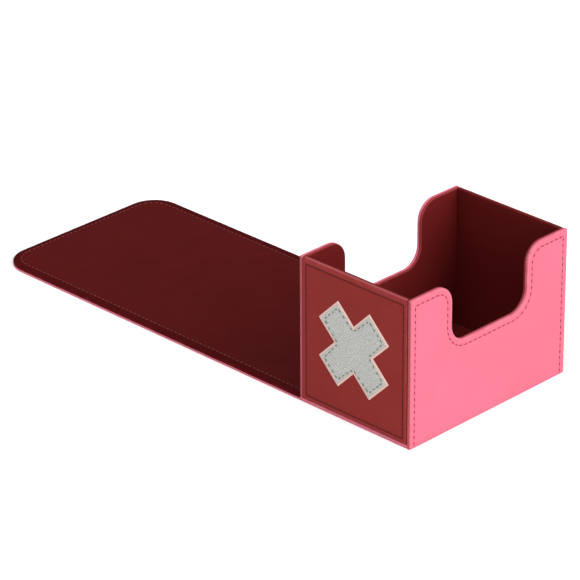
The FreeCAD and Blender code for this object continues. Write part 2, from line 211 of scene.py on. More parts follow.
def skin_profile(outer, sheet, turn):
    """A skin with that outer face that turns round the edge of a board.

    `sheet` is its thickness and `turn` the inset of the board. Entries are (inset,
    height, whether that is inside the fold of the leather).
    """
    inside = outer[0][1] - sheet
    return solid_profile(outer) + [(turn, 0.0, True), (turn, inside, True), (FLAT_FROM, inside, True)]


def solid_profile(outer):
    """A plain sheet with that outer face and a flat back."""
    return [(inset, height, False) for inset, height in outer]


# ---- meshes -------------------------------------------------------------------------

DRIFT = 0.05
DRIFT_LENGTH = 17.0
DRIFT_SEED = 7
SHARP_ANGLE = 50

# Blender's vector noise starts from the clock unless it is given a seed.
noise.seed_set(DRIFT_SEED)


def by_hand(a, b):
    """A point of an outline moved a few hundredths, as leather is never cut exactly."""
    moved = noise.noise_vector(Vector((a, b, 0)) / DRIFT_LENGTH) * DRIFT
    return a + moved.x, b + moved.y


class Shape:
    """Points and faces gathered for one mesh, with a number kept for every point."""

    def __init__(self):
        self.points = []
        self.faces = []
        self.marks = []

    def add_ring(self, points, mark):
        start = len(self.points)
        self.points += points
        self.marks += [mark] * len(points) if isinstance(mark, float) else list(mark)
        return list(range(start, len(self.points)))

    def join(self, first, second):
        for i in range(len(first)):
            k = (i + 1) % len(first)
            self.faces.append((first[i], first[k], second[k], second[i]))

    def loft(self, rings, marks):
        """A closed skin through the rings."""
        indices = [self.add_ring(points, mark) for points, mark in zip(rings, marks)]
        for first, second in zip(indices, indices[1:]):
            self.join(first, second)
        self.faces.append(tuple(reversed(indices[0])))
        self.faces.append(tuple(indices[-1]))

    def mesh(self, name, mark_name):
        mesh = bpy.data.meshes.new(name)
        mesh.from_pydata([metres(point) for point in self.points], [], self.faces)
        marks = mesh.attributes.new(mark_name, "FLOAT", "POINT")
        marks.data.foreach_set("value", self.marks)
        editing = bmesh.new()
        editing.from_mesh(mesh)
        bmesh.ops.recalc_face_normals(editing, faces=editing.faces)
        editing.to_mesh(mesh)
        editing.free()
        # The flats are single faces: smooth shading would draw creases across them.
        mesh.polygons.foreach_set("use_smooth", [len(face) == 4 for face in self.faces])
        mesh.set_sharp_from_angle(angle=math.radians(SHARP_ANGLE))
        return mesh


def piece(shape, name, material, mark_name="edge"):
    """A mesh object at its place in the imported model, on no body yet."""
    made = bpy.data.objects.new(name, shape.mesh(name, mark_name))
    bpy.context.scene.collection.objects.link(made)
    made.data.materials.append(material)
    return made


def plate(corners, profile, place, joint_room=BOARD_TURN, foot_share=0.0):
    """A skin or sheet of an outline, whose edges of kind "rim" follow the profile.

    Edges of kind "joint" stay where they are and meet a neighbour. Those of kind "foot"
    and "end" are rounded by a share of the profile's insets. `joint_room` is how far the
    inside of the skin keeps from joints and feet.
    """
    rings = []
    for inset, height, inside in profile:
        insets = {
            "rim": inset,
            "joint": joint_room if inside else 0.0,
            "foot": joint_room if inside else inset * foot_share,
            "end": inset if inside else inset * LIP_END_SEAM / COVER_SEAM,
        }
        rings.append([place(*by_hand(a, b), height) for a, b in ring(corners, insets)])
    shape = Shape()
    shape.loft(rings, [float(inset) for inset, _, _ in profile])
    return shape


# ---- stitches -----------------------------------------------------------------------

STITCH_SIDES = 8
STITCH_SPANS = 6
TWIST_LENGTH = 0.55

# The blunt tip as a share of the stitch, how quickly it fattens, and how far its middle
# rises out of the leather from where its ends sink, as shares of its height.
STITCH_TIP = 0.02
STITCH_TAPER = 0.4
STITCH_RISE = 1.1
STITCH_SINK = 0.75

# The length that a stretch of no length counts as.
NO_LENGTH = 1e-9


def stitch(shape, start, end, normal, width, height):
    """One stitch: a short fat strand whose two ends dive into the leather."""
    along = end - start
    side = normal.cross(along).normalized()
    rings, marks = [], []
    for span in range(STITCH_SPANS + 1):
        t = STITCH_TIP + (1 - 2 * STITCH_TIP) * span / STITCH_SPANS
        fat = math.sin(math.pi * t) ** STITCH_TAPER
        middle = start + along * t + normal * height * (STITCH_RISE * fat - STITCH_SINK)
        points, twist = [], []
        for k in range(STITCH_SIDES):
            turn = 2 * math.pi * (k + 0.5) / STITCH_SIDES - math.pi / 2
            across = side * math.cos(turn) * width / 2 + normal * math.sin(turn) * height / 2
            points.append(middle + across * fat)
            twist.append(along.length * t / TWIST_LENGTH + k / STITCH_SIDES)
        rings.append(points)
        marks.append(twist)
    shape.loft(rings, marks)


def walk(points, lengths, distance):
    """The point that lies this far along a line of points."""
    for a, b, length in zip(points, points[1:], lengths):
        if distance <= length:
            return a.lerp(b, distance / length)
        distance -= length
    return points[-1]


class Thread:
    """How a seam is sewn: its pitch, how much of it is thread, and the strand's size.

    `slant` is how many degrees each stitch leans from the seam's line.
    """

    def __init__(self, pitch, fill, width=0.42, height=0.3, slant=7.0):
        self.pitch = pitch
        self.fill = fill
        self.width = width
        self.height = height
        self.slant = math.radians(slant)


def sew(shape, run, normal, thread, lift):
    """Even stitches along a line of points, `lift` above it."""
    points = [Vector(point) + normal * lift for point in run]
    lengths = [max((b - a).length, NO_LENGTH) for a, b in zip(points, points[1:])]
    total = sum(lengths)
    count = max(1, round(total / thread.pitch))
    pitch = total / count
    half = pitch * thread.fill / 2
    lean = Matrix.Rotation(thread.slant, 3, normal)
    for k in range(count):
        middle = (k + 0.5) * pitch
        a = walk(points, lengths, middle - half)
        b = walk(points, lengths, middle + half)
        centre = (a + b) / 2
        stitch(shape, centre + lean @ (a - centre), centre + lean @ (b - centre),
               normal, thread.width, thread.height)


def run_between(arcs, corners, place):
    """The line from the middle of one corner, round others, to the middle of the last."""
    middle = ARC_STEPS // 2
    flat = [arcs[corners[0]][middle]]
    for corner in corners[1:-1]:
        flat += arcs[corner]
    flat.append(arcs[corners[-1]][middle])
    return [place(a, b) for a, b in flat]


# ---- materials ----------------------------------------------------------------------


def srgb(red, green, blue):
    """A colour named by its 0-255 screen values, as the shaders want it."""
    def linear(value):
        value /= 255
        return value / 12.92 if value <= 0.04045 else ((value + 0.055) / 1.055) ** 2.4
    return (linear(red), linear(green), linear(blue), 1.0)


def shade(colour, factor):
    return tuple(min(1.0, channel * factor) for channel in colour[:3]) + (1.0,)


class Look:
    """A material being made, with short names for the nodes that it needs."""

    def __init__(self, name, roughness, specular):
        self.material = bpy.data.materials.new(name)
        self.material.use_nodes = True
        self.tree = self.material.node_tree
        self.shader = self.tree.nodes["Principled BSDF"]
        self.place = self.add("ShaderNodeTexCoord").outputs["Object"]
        self.set("Roughness", roughness)
        self.set("Specular IOR Level", specular)

    def add(self, kind, **settings):
        made = self.tree.nodes.new(kind)
        for key, value in settings.items():
            setattr(made, key, value)
        return made

    def feed(self, socket, value):
        if isinstance(value, bpy.types.NodeSocket):
            self.tree.links.new(value, socket)
        else:
            socket.default_value = value

    def set(self, socket, value):
        self.feed(self.shader.inputs[socket], value)

    def moved(self, rotation=(0, 0, 0), scale=(1, 1, 1)):
        mapping = self.add("ShaderNodeMapping")
        self.feed(mapping.inputs["Vector"], self.place)
        mapping.inputs["Rotation"].default_value = rotation
        mapping.inputs["Scale"].default_value = scale
        return mapping.outputs["Vector"]

    def noise(self, size, detail=3.0, place=None):
        """Noise with features about `size` millimetres across."""
        made = self.add("ShaderNodeTexNoise")
        self.feed(made.inputs["Vector"], place or self.place)
        made.inputs["Scale"].default_value = 1 / (size * MM)
        made.inputs["Detail"].default_value = detail
        made.inputs["Roughness"].default_value = 0.55
        return made.outputs["Fac"]

    def cells(self, size):
        """Cells about `size` millimetres across, as the distance from their middles."""
        made = self.add("ShaderNodeTexVoronoi")
        self.feed(made.inputs["Vector"], self.place)
        made.inputs["Scale"].default_value = 1 / (size * MM)
        return made.outputs["Distance"]

    def mark(self, name):
        """The number that a mesh keeps for every point."""
        return self.add("ShaderNodeAttribute", attribute_name=name).outputs["Fac"]

    def math(self, operation, *values):
        made = self.add("ShaderNodeMath", operation=operation)
        for socket, value in zip(made.inputs, values):
            self.feed(socket, value)
        return made.outputs[0]

    def band(self, value, low, high, to_low=0.0, to_high=1.0):
        """A smooth step of the value between two limits."""
        made = self.add("ShaderNodeMapRange", interpolation_type="SMOOTHSTEP")
        for socket, given in zip(made.inputs, (value, low, high, to_low, to_high)):
            self.feed(socket, given)
        return made.outputs[0]

    def mix(self, factor, first, second):
        made = self.add("ShaderNodeMix", data_type="RGBA")
        colours = [socket for socket in made.inputs if socket.type == "RGBA"]
        self.feed(made.inputs[0], factor)
        self.feed(colours[0], first)
        self.feed(colours[1], second)
        return next(socket for socket in made.outputs if socket.type == "RGBA")

    def bump(self, height, depth, strength=1.0, normal=None):
        """Relief `depth` millimetres high."""
        made = self.add("ShaderNodeBump")
        self.feed(made.inputs["Height"], height)
        made.inputs["Distance"].default_value = depth * MM
        made.inputs["Strength"].default_value = strength
        if normal:
            self.feed(made.inputs["Normal"], normal)
        return made.outputs["Normal"]


class Leather:
    """How one leatherette looks: its colours, its finish, its seam and its rim.

    `grain` is the width of its pebbles and `depth` their relief. `seam` is how far in a
    seam line runs, with painted shade darkening its groove. `rim` is the colour of the
    outermost `rim_reach` of a piece, and `ends` is painted shade, the colour of the last
    `ends_reach` at both ends of the tray, where the end faces get little light.
    """

    def __init__(self, colour, worn, roughness, specular, grain, depth,
                 seam=None, seam_shade_colour=None, rim=None, rim_reach=0.4,
                 ends=None, ends_reach=0.3):
        self.colour = colour
        self.worn = worn
        self.roughness = roughness
        self.specular = specular
        self.grain = grain
        self.depth = depth
        self.seam = seam
        self.seam_shade_colour = seam_shade_colour
        self.rim = rim
        self.rim_reach = rim_reach
        self.ends = ends
        self.ends_reach = ends_reach

    def material(self, name):
        """Pebble grain, faint clouds, worn edges, a rim, painted shade at the tray's ends and in the
        seam's groove.
        """
        look = Look(name, self.roughness, self.specular)
        edge = look.mark("edge")
        clouds = look.band(look.noise(24.0, detail=4.0), 0.3, 0.7)
        body = look.mix(clouds, shade(self.colour, 0.96), shade(self.colour, 1.03))
        # On the panel this rim colour is a painted highlight on its rounded border.
        if self.rim:
            near_edge = look.band(edge, self.rim_reach + 0.2, self.rim_reach - 0.2)
            body = look.mix(near_edge, body, self.rim)
        rubbed = look.band(look.noise(5.0), 0.35, 0.7)
        rub = look.math("MULTIPLY", look.band(edge, 0.9, 0.1), rubbed)
        body = look.mix(look.math("MULTIPLY", rub, 0.5), body, self.worn)
        # Painted shade: the tray's end faces, which face away from the key light, darkened to
        # rose-brown.
        if self.ends:
            apart = look.add("ShaderNodeSeparateXYZ")
            look.feed(apart.inputs[0], look.place)
            reach = look.math("ABSOLUTE", apart.outputs["Y"])
            start = box("right_wall_leather")[1].y - self.ends_reach
            at_shaded_end = look.band(reach, (start - 0.2) * MM, (start + 0.2) * MM)
            body = look.mix(at_shaded_end, body, self.ends)
        # Painted shade along the groove under the seam's stitches.
        if self.seam:
            away = look.math("ABSOLUTE", look.math("SUBTRACT", edge, self.seam))
            body = look.mix(look.band(away, 0.42, 0.12), body, self.seam_shade_colour)
        pebbles = look.cells(self.grain)
        pits = look.math("MULTIPLY", look.band(pebbles, 0.45, 0.8), 0.18)
        look.set("Base Color", look.mix(pits, body, shade(self.colour, 0.8)))
        uneven = look.noise(9.0)
        smooth, rough = self.roughness - 0.05, self.roughness + 0.06
        look.set("Roughness", look.band(uneven, 0.2, 0.8, smooth, rough))
        waves = look.bump(look.noise(14.0, detail=2.0), 0.05, strength=0.5)
        look.set("Normal", look.bump(pebbles, -self.depth, strength=0.6, normal=waves))
        return look.material


def thread_look(name, colour):
    """Twisted thread, with painted shade between its plies."""
    look = Look(name, roughness=0.6, specular=0.25)
    twist = look.math("SINE", look.math("MULTIPLY", look.mark("strand"), 2 * math.pi))
    plies = look.band(twist, -1.0, 0.4)
    # Painted shade in the crevices between the plies.
    look.set("Base Color", look.mix(plies, shade(colour, 0.55), colour))
    look.set("Normal", look.bump(plies, 0.05))
    return look.material


def canvas_look(name, centre, arm, width):
    """Canvas of crossing yarns with painted shade between them and a smooth sealed border, on arms at
    45 degrees.
    """
    look = Look(name, roughness=0.85, specular=0.1)
    turned = look.moved(rotation=(0, math.radians(45), 0))
    apart = look.add("ShaderNodeSeparateXYZ")
    look.feed(apart.inputs[0], turned)
    middle = Matrix.Rotation(math.radians(45), 3, "Y") @ metres(centre)
    u = look.math("SUBTRACT", apart.outputs["X"], middle.x)
    v = look.math("SUBTRACT", apart.outputs["Z"], middle.z)
    across_u, across_v = look.math("ABSOLUTE", u), look.math("ABSOLUTE", v)
    arms = [
        look.math("MINIMUM", look.math("SUBTRACT", arm / 2 * MM, first),
                  look.math("SUBTRACT", width / 2 * MM, second))
        for first, second in ((across_u, across_v), (across_v, across_u))
    ]
    from_edge = look.math("MULTIPLY", look.math("MAXIMUM", *arms), 1 / MM)
    rib_pitch, yarn_pitch = 0.88 * MM, 1.0 * MM
    rib = look.math("MULTIPLY", v, 1 / rib_pitch)
    odd = look.math("MULTIPLY", look.math("FLOORED_MODULO", look.math("FLOOR", rib), 2.0), 0.5)
    yarn = look.math("ADD", look.math("MULTIPLY", u, 1 / yarn_pitch), odd)
    ribs = look.math("ABSOLUTE", look.math("SINE", look.math("MULTIPLY", rib, math.pi)))
    yarns = look.math("ABSOLUTE", look.math("SINE", look.math("MULTIPLY", yarn, math.pi)))
    weave = look.math("MULTIPLY", look.math("POWER", ribs, 0.6),
                      look.math("MULTIPLY_ADD", yarns, 0.45, 0.55))
    yarn_colour = look.mix(look.band(look.noise(0.9), 0.3, 0.7), CANVAS_DARK, CANVAS_LIGHT)
    # Painted shade in the gaps between the yarns.
    cloth = look.mix(look.band(weave, 0.05, 0.7), CANVAS_GAP_SHADE, yarn_colour)
    border = look.band(from_edge, 1.2, 0.9)
    look.set("Base Color", look.mix(border, cloth, CANVAS_BORDER))
    relief = look.math("MULTIPLY", weave, look.math("SUBTRACT", 1.0, border))
    look.set("Normal", look.bump(relief, 0.22))
    return look.material


def board_look():
    """Grey bookbinding board with pressed fibres."""
    look = Look("board", roughness=0.95, specular=0.1)
    fibres = look.noise(0.8, detail=6.0, place=look.moved(scale=(0.3, 1, 1)))
    look.set("Base Color", look.mix(look.band(fibres, 0.3, 0.7), BOARD_DARK, BOARD_LIGHT))
    look.set("Normal", look.bump(fibres, 0.05))
    return look.material


def metal_look(name, colour, grain_scale, roughness):
    """Plated metal with fine streaks."""
    look = Look(name, roughness, specular=0.5)
    look.set("Metallic", 1.0)
    marks = look.noise(0.5, detail=5.0, place=look.moved(scale=grain_scale))
    look.set("Base Color", look.mix(marks, shade(colour, 0.85), colour))
    look.set("Roughness", look.band(marks, 0.2, 0.8, roughness - 0.08, roughness + 0.1))
    look.set("Normal", look.bump(marks, 0.01))
    return look.material


PINK = (0.50, 0.0895, 0.1400, 1.0)
PINK_WORN = (0.56, 0.17, 0.22, 1.0)
# Painted shade for the seam's groove in the pink leather.
PINK_SEAM_SHADE = (0.42, 0.058, 0.095, 1.0)
# Painted shade: the pink darkened to rose-brown for the tray's end faces and the end walls.
PINK_SHADED_ENDS = (0.31, 0.050, 0.058, 1.0)
MAROON = (0.066, 0.0036, 0.0038, 1.0)
MAROON_WORN = (0.10, 0.010, 0.010, 1.0)
# Painted shade for the seam's groove in the cover's lining.
MAROON_SEAM_SHADE = (0.05, 0.003, 0.003, 1.0)
COVER_BORDER = (0.050, 0.0010, 0.0017, 1.0)
# Painted light: the lining inside the tray is a lighter copy of the cover's lining, making up for
# light the walls keep out.
INNER_MAROON_PAINTED_LIGHT = (0.088, 0.0062, 0.0060, 1.0)
INNER_RIM = (0.20, 0.026, 0.030, 1.0)
END_RIM = (0.10, 0.0060, 0.0070, 1.0)
RED = (0.192, 0.0150, 0.0125, 1.0)
RED_WORN = (0.26, 0.04, 0.036, 1.0)
# Painted highlight: the panel's border outside its seam, lighter as if its rounded edge caught the
# light.
RED_BORDER_HIGHLIGHT = (0.215, 0.0190, 0.0185, 1.0)
# Painted shade for the seam's groove in the panel.
RED_SEAM_SHADE = (0.10, 0.003, 0.003, 1.0)
CANVAS_DARK = (0.38, 0.38, 0.36, 1.0)
CANVAS_LIGHT = (0.53, 0.53, 0.505, 1.0)
# Painted shade for the gaps between the canvas yarns.
CANVAS_GAP_SHADE = (0.24, 0.25, 0.24, 1.0)
CANVAS_BORDER = (0.58, 0.40, 0.35, 1.0)
WALL_THREAD = (0.13, 0.010, 0.03, 1.0)
PANEL_THREAD = (0.045, 0.002, 0.002, 1.0)
COVER_THREAD = (0.17, 0.040, 0.040, 1.0)
PATCH_THREAD = (0.085, 0.12, 0.095, 1.0)
BOARD_DARK = srgb(140, 134, 124)
BOARD_LIGHT = srgb(176, 170, 158)
STEEL = srgb(200, 200, 202)
NICKEL = srgb(214, 212, 206)


# ---- tray ---------------------------------------------------------------------------


def wall_corners(low, high):
    """A side wall's outline as (y, z): its foot, its ends, its shoulders, its cutout."""
    side = CUTOUT_HALF_WIDTH
    return [
        (low.y, low.z, WALL_FOOT_RADIUS, "foot"),
        (high.y, low.z, WALL_FOOT_RADIUS, "rim"),
        (high.y, high.z, WALL_TOP_RADIUS, "rim"),
        (side, high.z, SHOULDER_RADIUS, "rim"),
        (side, CUTOUT_BOTTOM, CUTOUT_RADIUS, "rim"),
        (-side, CUTOUT_BOTTOM, CUTOUT_RADIUS, "rim"),
        (-side, high.z, SHOULDER_RADIUS, "rim"),
        (low.y, high.z, WALL_TOP_RADIUS, "rim"),
    ]


def finish_piece(made, body, node):
    """The piece moves with the body and is seen in place of the CAD node."""
    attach(made, body)
    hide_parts(node)


WALL_STITCHES = Thread(pitch=3.25, fill=0.56, width=0.46, slant=12.0)
PANEL_STITCHES = Thread(pitch=2.9, fill=0.84, width=0.4)
PATCH_STITCHES = Thread(pitch=3.3, fill=0.6, width=0.48, slant=0.0)


def side_wall(label, side, materials):
    """The leather, lining and seam of one side wall."""
    low, high = box(label + "_wall_leather")
    lining_low, lining_high = box(label + "_wall_lining")
    split = near_side(side, low.x, high.x)
    inner = near_side(side, lining_low.x, lining_high.x)
    thick = high.x - low.x
    outer = outer_profile(thick, width=0.6, drop=0.55, seam=WALL_SEAM, depth=0.14, puff=0.05)
    skin = plate(
        wall_corners(low, high), skin_profile(outer, sheet=SKIN, turn=SKIN),
        lambda a, b, h: (side * (split + h), a, b), joint_room=WALL_ROOM, foot_share=0.12,
    )
    made = piece(skin, label + "_wall_leather_skin", materials["wall"])
    finish_piece(made, "tray", label + "_wall_leather")
    inside = outer_profile(split - inner, width=0.7, drop=0.6)
    cloth = plate(
        wall_corners(lining_low, lining_high), skin_profile(inside, sheet=LINING, turn=SKIN),
        lambda a, b, h: (side * (split - h), a, b), joint_room=WALL_ROOM,
    )
    made = piece(cloth, label + "_wall_lining_skin", materials["lining"])
    finish_piece(made, "tray", label + "_wall_lining")
    foot = box(label + "_wall_seam")[0].z - low.z
    arcs = corner_arcs(wall_corners(low, high), {"rim": WALL_SEAM, "foot": foot})
    stitches = Shape()
    for corners in ((1, 2), (2, 3, 4, 5, 6, 7), (7, 0)):
        run = run_between(arcs, corners, lambda a, b: (side * (split + thick), a, b))
        sew(stitches, run, Vector((side, 0, 0)), WALL_STITCHES, lift=-0.06)
    thread = materials["wall_thread"]
    made = piece(stitches, label + "_wall_stitches", thread, "strand")
    finish_piece(made, "tray", label + "_wall_seam")


def end_wall(label, side, materials):
    """The leather and lining of the front or rear wall, and the panel sewn on it."""
    low, high = box(label + "_wall_leather")
    lining_low, lining_high = box(label + "_wall_lining")
    panel_low, panel_high = box(label + "_panel")
    split = near_side(side, low.y, high.y)
    inner = near_side(side, lining_low.y, lining_high.y)
    back = near_side(side, panel_low.y, panel_high.y)
    kinds = ("joint", "joint", "rim", "joint")
    corners = rectangle((low.x, low.z), (high.x, high.z), kinds)
    outer = outer_profile(high.y - low.y, width=0.5, drop=0.5)
    skin = plate(corners, skin_profile(outer, sheet=SKIN, turn=SKIN),
                 lambda a, b, h: (a, side * (split + h), b), joint_room=WALL_ROOM)
    made = piece(skin, label + "_wall_leather_skin", materials["end_wall"])
    finish_piece(made, "tray", label + "_wall_leather")
    inside = outer_profile(split - inner, width=0.6, drop=0.55)
    cloth = plate(corners, skin_profile(inside, sheet=LINING, turn=SKIN),
                  lambda a, b, h: (a, side * (split - h), b), joint_room=WALL_ROOM)
    made = piece(cloth, label + "_wall_lining_skin", materials["end_lining"])
    finish_piece(made, "tray", label + "_wall_lining")
    thick = panel_high.y - panel_low.y
    outline = rectangle((panel_low.x, panel_low.z), (panel_high.x, panel_high.z),
                        ("rim",) * 4, PANEL_RADIUS)
    outer = outer_profile(thick, width=0.55, drop=0.45, seam=PANEL_SEAM, depth=0.16, puff=0.06)
    sheet = plate(outline, solid_profile(outer), lambda a, b, h: (a, side * (back + h), b))
    made = piece(sheet, label + "_panel_sheet", materials["panel"])
    finish_piece(made, "tray", label + "_panel")
    arcs = corner_arcs(outline, {"rim": PANEL_SEAM})
    stitches = Shape()
    for first in range(len(outline)):
        between = (first, (first + 1) % len(outline))
        run = run_between(arcs, between, lambda a, b: (a, side * (back + thick), b))
        sew(stitches, run, Vector((0, side, 0)), PANEL_STITCHES, lift=-0.11)
    thread = materials["panel_thread"]
    made = piece(stitches, label + "_panel_stitches", thread, "strand")
    finish_piece(made, "tray", label + "_panel_seam")


def cross_outline():
    """The cross patch's outline in the directions of its arms."""
    long, short = PATCH_ARM / 2, PATCH_WIDTH / 2
    convex, concave = PATCH_CONVEX_RADIUS, PATCH_CONCAVE_RADIUS
    return [
        (short, -long, convex, "rim"), (short, -short, concave, "rim"),
        (long, -short, convex, "rim"), (long, short, convex, "rim"),
        (short, short, concave, "rim"), (short, long, convex, "rim"),
        (-short, long, convex, "rim"), (-short, short, concave, "rim"),
        (-long, short, convex, "rim"), (-long, -short, convex, "rim"),
        (-short, -short, concave, "rim"), (-short, -long, convex, "rim"),
    ]


# The canvas inside its seam, and its border from the inside out and down: (inset, height
# above the patch's face).
CANVAS_INSIDE = ((4.2, 0.1), (PATCH_SEAM + 0.9, 0.09))
CANVAS_EDGE = (
    (1.4, 0.03), (1.1, -0.03), (0.5, -0.04), (0.2, -0.08), (0.05, -0.17), (0.0, -0.28),
)
CANVAS_GROOVE = 0.06


def cross_patch(materials):
    """The plain canvas cross on the front panel and its running stitches."""
    low, high = box("cross_patch")
    centre = (low + high) / 2
    upright = Matrix.Rotation(math.radians(45), 2)

    def place(a, b, height):
        turned = upright @ Vector((a, b))
        return (centre.x + turned.x, high.y - height, centre.z + turned.y)

    thick = high.y - low.y
    outline = cross_outline()
    groove = [(PATCH_SEAM + away, -CANVAS_GROOVE * share) for away, share in GROOVE]
    face = (*CANVAS_INSIDE, *groove, *CANVAS_EDGE)
    profile = [(inset, thick + height) for inset, height in face] + [(0.0, 0.0)]
    cloth = plate(outline, solid_profile(profile), place)
    made = piece(cloth, "cross_patch_canvas", materials["canvas"])
    finish_piece(made, "tray", "cross_patch")
    arcs = corner_arcs(outline, {"rim": PATCH_SEAM})
    stitches = Shape()
    for first in range(len(outline)):
        between = (first, (first + 1) % len(outline))
        run = run_between(arcs, between, lambda a, b: place(a, b, thick))
        sew(stitches, run, Vector((0, -1, 0)), PATCH_STITCHES, lift=0.0)
    thread = materials["patch_thread"]
    made = piece(stitches, "cross_patch_stitches", thread, "strand")
    finish_piece(made, "tray", "cross_patch_seam")


def tray_base(materials):
    """The pink sheet that the tray stands on."""
    low, high = box("base_leather")
    corners = rectangle((low.x, low.y), (high.x, high.y), ("rim", "joint", "rim", "joint"))
    outer = outer_profile(high.z - low.z, width=0.6, drop=0.6)
    skin = plate(corners, skin_profile(outer, sheet=SKIN, turn=BOARD_TURN),
                 lambda a, b, h: (a, b, high.z - h))
    made = piece(skin, "base_leather_skin", materials["pink"])
    finish_piece(made, "tray", "base_leather")


def tray_floor(materials):
    """The lining on the floor between the walls."""
    low, high = box("floor_lining")
    corners = rectangle((low.x, low.y), (high.x, high.y), ("rim",) * 4, FLOOR_RADIUS)
    outer = outer_profile(high.z - low.z, width=0.35, drop=0.3)
    sheet = plate(corners, solid_profile(outer), lambda a, b, h: (a, b, low.z + h))
    made = piece(sheet, "floor_lining_sheet", materials["lining"])
    finish_piece(made, "tray", "floor_lining")


# ---- cover --------------------------------------------------------------------------

COVER_STITCHES = Thread(pitch=2.8, fill=0.7)


def cover_profiles():
    """The leather's and the lining's outer profiles, which every cover piece shares."""
    low, high = box("cover_back_leather")
    leather_side = outer_profile(high.z - low.z, width=0.6, drop=0.55, seam=COVER_SEAM, depth=0.3)
    low, high = box("cover_back_lining")
    lining_side = outer_profile(high.z - low.z, width=1.1, drop=0.7, seam=COVER_SEAM, depth=0.1)
    return leather_side, lining_side


def cover_panel(label, body, corners, runs, materials):
    """The leather, lining and seams of one stiff panel of the cover.

    `runs` are the corners that each line of stitches goes round.
    """
    leather_side, lining_side = cover_profiles()
    low, high = box(label + "_leather")
    skin = plate(corners, skin_profile(leather_side, sheet=SKIN, turn=BOARD_TURN),
                 lambda a, b, h: (a, b, high.z - h))
    made = piece(skin, label + "_leather_skin", materials["cover"])
    finish_piece(made, body, label + "_leather")
    cloth = plate(corners, skin_profile(lining_side, sheet=LINING, turn=BOARD_TURN),
                  lambda a, b, h: (a, b, high.z + h))
    made = piece(cloth, label + "_lining_skin", materials["cover_lining"])
    finish_piece(made, body, label + "_lining")
    top = box(label + "_lining")[1].z
    arcs = corner_arcs(corners, {"rim": COVER_SEAM, "joint": 0.0, "end": LIP_END_SEAM})
    stitches = Shape()
    for run in runs:
        upper = run_between(arcs, run, lambda a, b: (a, b, top))
        sew(stitches, upper, Vector((0, 0, 1)), COVER_STITCHES, lift=-0.05)
        lower = run_between(arcs, run, lambda a, b: (a, b, low.z))
        sew(stitches, lower, Vector((0, 0, -1)), COVER_STITCHES, lift=-0.26)
    thread = materials["cover_thread"]
    made = piece(stitches, label + "_stitches", thread, "strand")
    finish_piece(made, body, label + "_seam")


def straight_panel(label, materials):
    """The back or the top of the cover, which has a fold on either side."""
    low, high = box(label + "_leather")
    corners = rectangle((low.x, low.y), (high.x, high.y), ("rim", "joint", "rim", "joint"))
    cover_panel(label, label, corners, ((0, 1), (2, 3)), materials)


def lip(materials):
    """The lip, which has two round corners at its free end."""
    low, high = box("lip_leather")
    corners = [
        (high.x, high.y, 0.0, "rim"),
        (low.x, high.y, LIP_RADIUS, "end"),
        (low.x, low.y, LIP_RADIUS, "rim"),
        (high.x, low.y, 0.0, "joint"),
    ]
    cover_panel("lip", "cover_lip", corners, ((0, 1, 2, 3),), materials)


FOLD_SPANS = 14

# A distance on the tray's side of a joint's line, kept with the leather's strip; nothing here bends
# the strip.
LEATHER_LEAD = 0.6


def fold_strip(profile, x_low, x_high, half, height_to_z, dip):
    """A strip across the cover between two panels, in slices so that it can bend.

    `half` is half its length, and `dip` the share of its height that it sinks midway.
    """
    side = [(half - inset, height) for inset, height in profile]
    section = side + [(-y, height) for y, height in reversed(side)]
    shape = Shape()
    rings = []
    marks = []
    for span in range(FOLD_SPANS + 1):
        t = span / FOLD_SPANS
        dent = 1 - dip * math.sin(math.pi * t) ** 2
        x = x_low + (x_high - x_low) * t
        rings.append([(*by_hand(x, y), height_to_z(height * dent)) for y, height in section])
        marks.append([half - abs(y) for y, _ in section])
    shape.loft(rings, marks)
    return shape


def fold(label, materials):
    """The leather, lining and stitches at one fold of the cover."""
    low, high = box(label + "_leather")
    top = box(label + "_lining")[1].z
    joint = next(joint for joint in frame["joints"] if joint["name"] == label)
    line = joint["pos_m"][0] / MM
    leather_side, lining_side = cover_profiles()
    pieces = []
    strip = fold_strip(leather_side, low.x, high.x, high.y, lambda h: high.z - h, dip=0.2)
    made = piece(strip, label + "_leather_strip", materials["cover"])
    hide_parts(label + "_leather")
    pieces.append((made, line + LEATHER_LEAD))
    strip = fold_strip(lining_side, low.x, high.x, high.y, lambda h: high.z + h, dip=0.06)
    made = piece(strip, label + "_lining_strip", materials["cover_lining"])
    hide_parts(label + "_lining")
    pieces.append((made, high.x))
    stitches = Shape()
    for side in (1, -1):
        y = side * (high.y - COVER_SEAM)
        sew(stitches, [(low.x, y, top), (high.x, y, top)], Vector((0, 0, 1)),
            COVER_STITCHES, lift=-0.08)
    thread = materials["cover_thread"]
    made = piece(stitches, label + "_stitches", thread, "strand")
    pieces.append((made, high.x))
    for made, start in pieces:
        metres((start, 0, 0))
        metres((low.x, 0, 0))
        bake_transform(made)


# ---- hidden CAD nodes ---------------------------------------------------------------


def dress_cad_nodes():
    """Materials for the boards, plates and magnets that stay as the CAD made them."""
    board = board_look()
    steel = metal_look("keeper_steel", STEEL, grain_scale=(1, 0.1, 1), roughness=0.35)
    nickel = metal_look("magnet_nickel", NICKEL, grain_scale=(0.1, 1, 1), roughness=0.25)
    for name, node in frame["nodes"].items():
        if name.endswith("_board"):
            look = board
        elif name == "keeper_plates":
            look = steel
        elif name == "lip_magnets":
            look = nickel
        else:
            continue
        node.data.materials.clear()
        node.data.materials.append(look)


# ---- studio -------------------------------------------------------------------------


